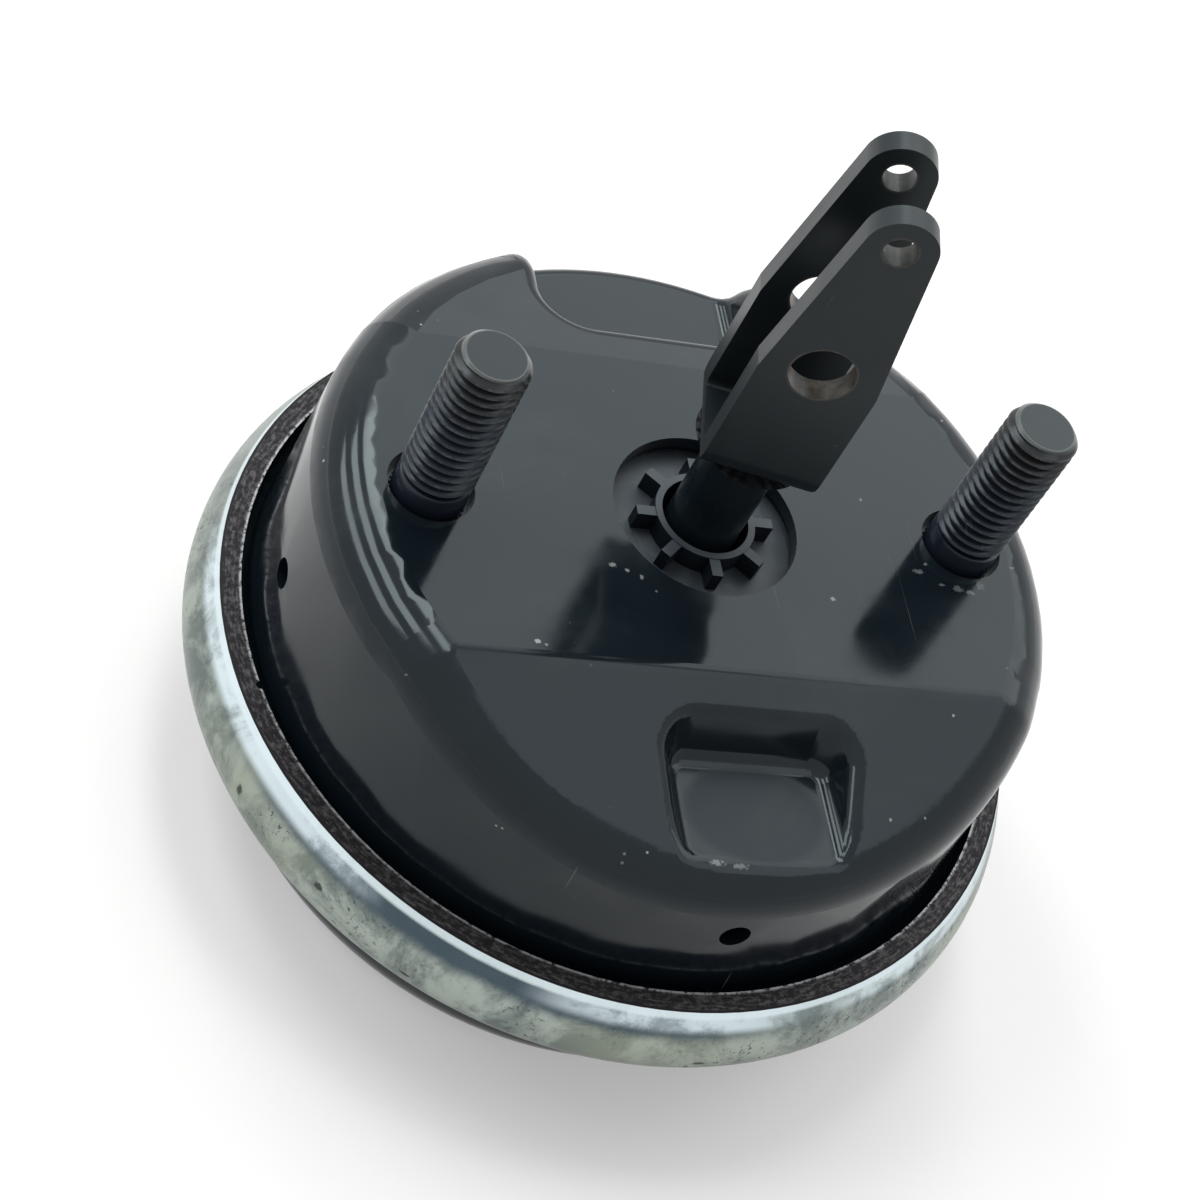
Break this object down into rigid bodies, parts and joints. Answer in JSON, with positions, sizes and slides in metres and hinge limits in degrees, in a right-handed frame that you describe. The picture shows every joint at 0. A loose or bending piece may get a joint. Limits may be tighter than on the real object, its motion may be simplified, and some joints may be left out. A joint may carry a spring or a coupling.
{
  "type": "air brake chamber",
  "caption": "Round diaphragm air brake chamber with two mounting studs, a sprung pushrod with welded two-hole clevis, and a rolled ring joining its two pressed housings.",
  "frame": {"origin": "centre of the two mounting studs, on the mounting face", "axes": "+Z along the pushrod, out of the chamber, +X along the line of the studs"},
  "size_m": [0.191, 0.191, 0.1942],
  "materials": {
    "non_pressure_housing": "black electrocoat, semi-gloss",
    "pressure_housing": "black electrocoat, semi-gloss",
    "crimp_ring": "zinc plate, dull, raw cut edge",
    "diaphragm": "fabric-reinforced rubber",
    "push_plate": "zinc plate",
    "plate_weld": "weld bead",
    "pushrod": "black phosphate",
    "return_spring": "black spring steel",
    "spring_seat": "zinc plate",
    "guide_plate": "dark grey moulded plastic",
    "mounting_plate": "black steel plate",
    "stud_left": "black phosphate, rolled thread",
    "stud_right": "black phosphate, rolled thread",
    "clevis": "black phosphate",
    "clevis_weld": "weld bead under black finish",
    "rod_end_weld": "weld bead under black finish",
    "port_boss_left": "turned steel",
    "port_boss_right": "turned steel",
    "port_weld_left": "weld bead",
    "port_weld_right": "weld bead",
    "port_plug": "zinc plate, hexagon socket"
  },
  "bodies": {
    "chamber": {"non_pressure_housing": "non_pressure_housing", "pressure_housing": "pressure_housing", "crimp_ring": "crimp_ring", "diaphragm": "diaphragm", "spring_seat": "spring_seat", "guide_plate": "guide_plate", "mounting_plate": "mounting_plate", "stud_left": "stud_left", "stud_right": "stud_right", "port_boss_left": "port_boss_left", "port_boss_right": "port_boss_right", "port_weld_left": "port_weld_left", "port_weld_right": "port_weld_right", "port_plug": "port_plug", "return_spring": "return_spring"},
    "rod": {"push_plate": "push_plate", "plate_weld": "plate_weld", "pushrod": "pushrod", "clevis": "clevis", "clevis_weld": "clevis_weld", "rod_end_weld": "rod_end_weld"}
  },
  "joints": [
    {"name": "pushrod_slide", "type": "slide", "parent": "chamber", "child": "rod", "axis": [0, 0, 1], "range_m": [0, 0.05715], "stiffness_N_per_m": 2600, "springref_m": -0.012, "deforming": ["return_spring"]}
  ]
}
